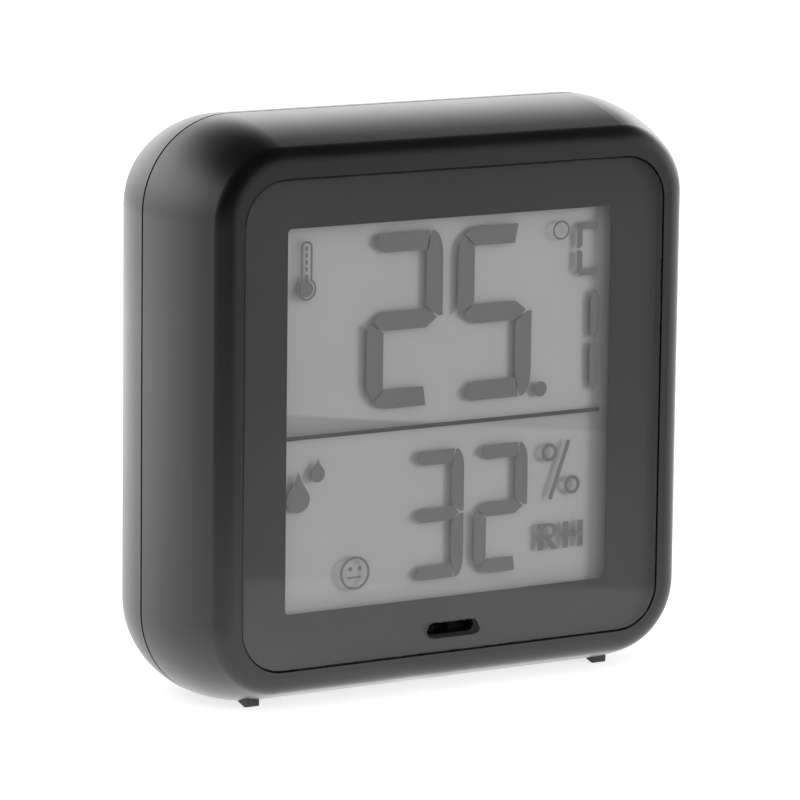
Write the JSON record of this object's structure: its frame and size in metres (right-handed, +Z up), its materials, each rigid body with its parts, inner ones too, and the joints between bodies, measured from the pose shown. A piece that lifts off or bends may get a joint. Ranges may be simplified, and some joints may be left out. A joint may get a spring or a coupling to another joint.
{
  "type": "temperature humidity sensor",
  "caption": "Small square indoor temperature and humidity display with a flush glossy panel, a rounded dark case, a fold-out leg and a battery door on the back.",
  "frame": {"origin": "on the table, under the middle of the case's overall box", "axes": "+Z up, -Y towards the viewer of the display, +X to the viewer's right"},
  "size_m": [0.065, 0.0232, 0.0647],
  "materials": {
    "front_shell": "satin moulded",
    "rear_cover": "satin moulded",
    "display_lens": "glossy clear",
    "lens_mask": "printed",
    "lens_tape": "foam adhesive",
    "lcd_polariser": "film",
    "lcd_glass": "polished",
    "lcd_reflector": "satin film",
    "lcd_holder": "moulded",
    "zebra_connector": "matt",
    "circuit_board": "solder mask",
    "screw_steel": "zinc plated",
    "chip_cover": "poured resin",
    "crystal_can": "drawn",
    "capacitor_ceramic": "matt",
    "resistor_ceramic": "matt",
    "sensor_body": "matt",
    "sensor_gasket": "foam",
    "switch_body": "moulded",
    "switch_plunger": "moulded",
    "unit_button": "matt",
    "battery_cell": "satin sleeve",
    "contact_metal": "nickel plated",
    "battery_door": "satin moulded",
    "stand_leg": "satin moulded",
    "pin_steel": "drawn",
    "magnet_nickel": "nickel plated",
    "foot_rubber": "matt"
  },
  "bodies": {
    "base": {"front_shell": "front_shell", "rear_cover": "rear_cover", "display_lens": "display_lens", "lens_mask": "lens_mask", "lens_tape": "lens_tape", "lcd_front_polariser": "lcd_polariser", "lcd_front_glass": "lcd_glass", "lcd_rear_glass": "lcd_glass", "lcd_reflector": "lcd_reflector", "lcd_holder": "lcd_holder", "zebra_connector": "zebra_connector", "circuit_board": "circuit_board", "board_screws": "screw_steel", "controller_chip": "chip_cover", "quartz_crystal": "crystal_can", "board_capacitors": "capacitor_ceramic", "board_resistors": "resistor_ceramic", "climate_sensor": "sensor_body", "sensor_gasket": "sensor_gasket", "unit_switch": "switch_body", "battery_cell": "battery_cell", "positive_contact": "contact_metal", "negative_contact": "contact_metal", "stand_pin": "pin_steel", "magnets": "magnet_nickel", "case_screws": "screw_steel", "front_feet": "foot_rubber", "rear_feet": "foot_rubber"},
    "stand_leg": {"stand_leg": "stand_leg"},
    "battery_door": {"battery_door": "battery_door"},
    "unit_button": {"unit_button": "unit_button", "switch_plunger": "switch_plunger"}
  },
  "joints": [
    {"name": "leg_hinge", "type": "hinge", "parent": "base", "child": "stand_leg", "pos_m": [0, 0.00995, 0.03002], "axis": [1, 0, 0], "range_deg": [0, 42]},
    {"name": "door_hinge", "type": "hinge", "parent": "base", "child": "battery_door", "pos_m": [-0.0246, 0.0109, 0.04215], "axis": [0, 0, 1], "range_deg": [0, 95]},
    {"name": "button_press", "type": "slide", "parent": "base", "child": "unit_button", "axis": [0, -1, 0], "range_m": [0, 0.0004], "stiffness_N_per_m": 1500, "springref_m": -0.0004}
  ]
}
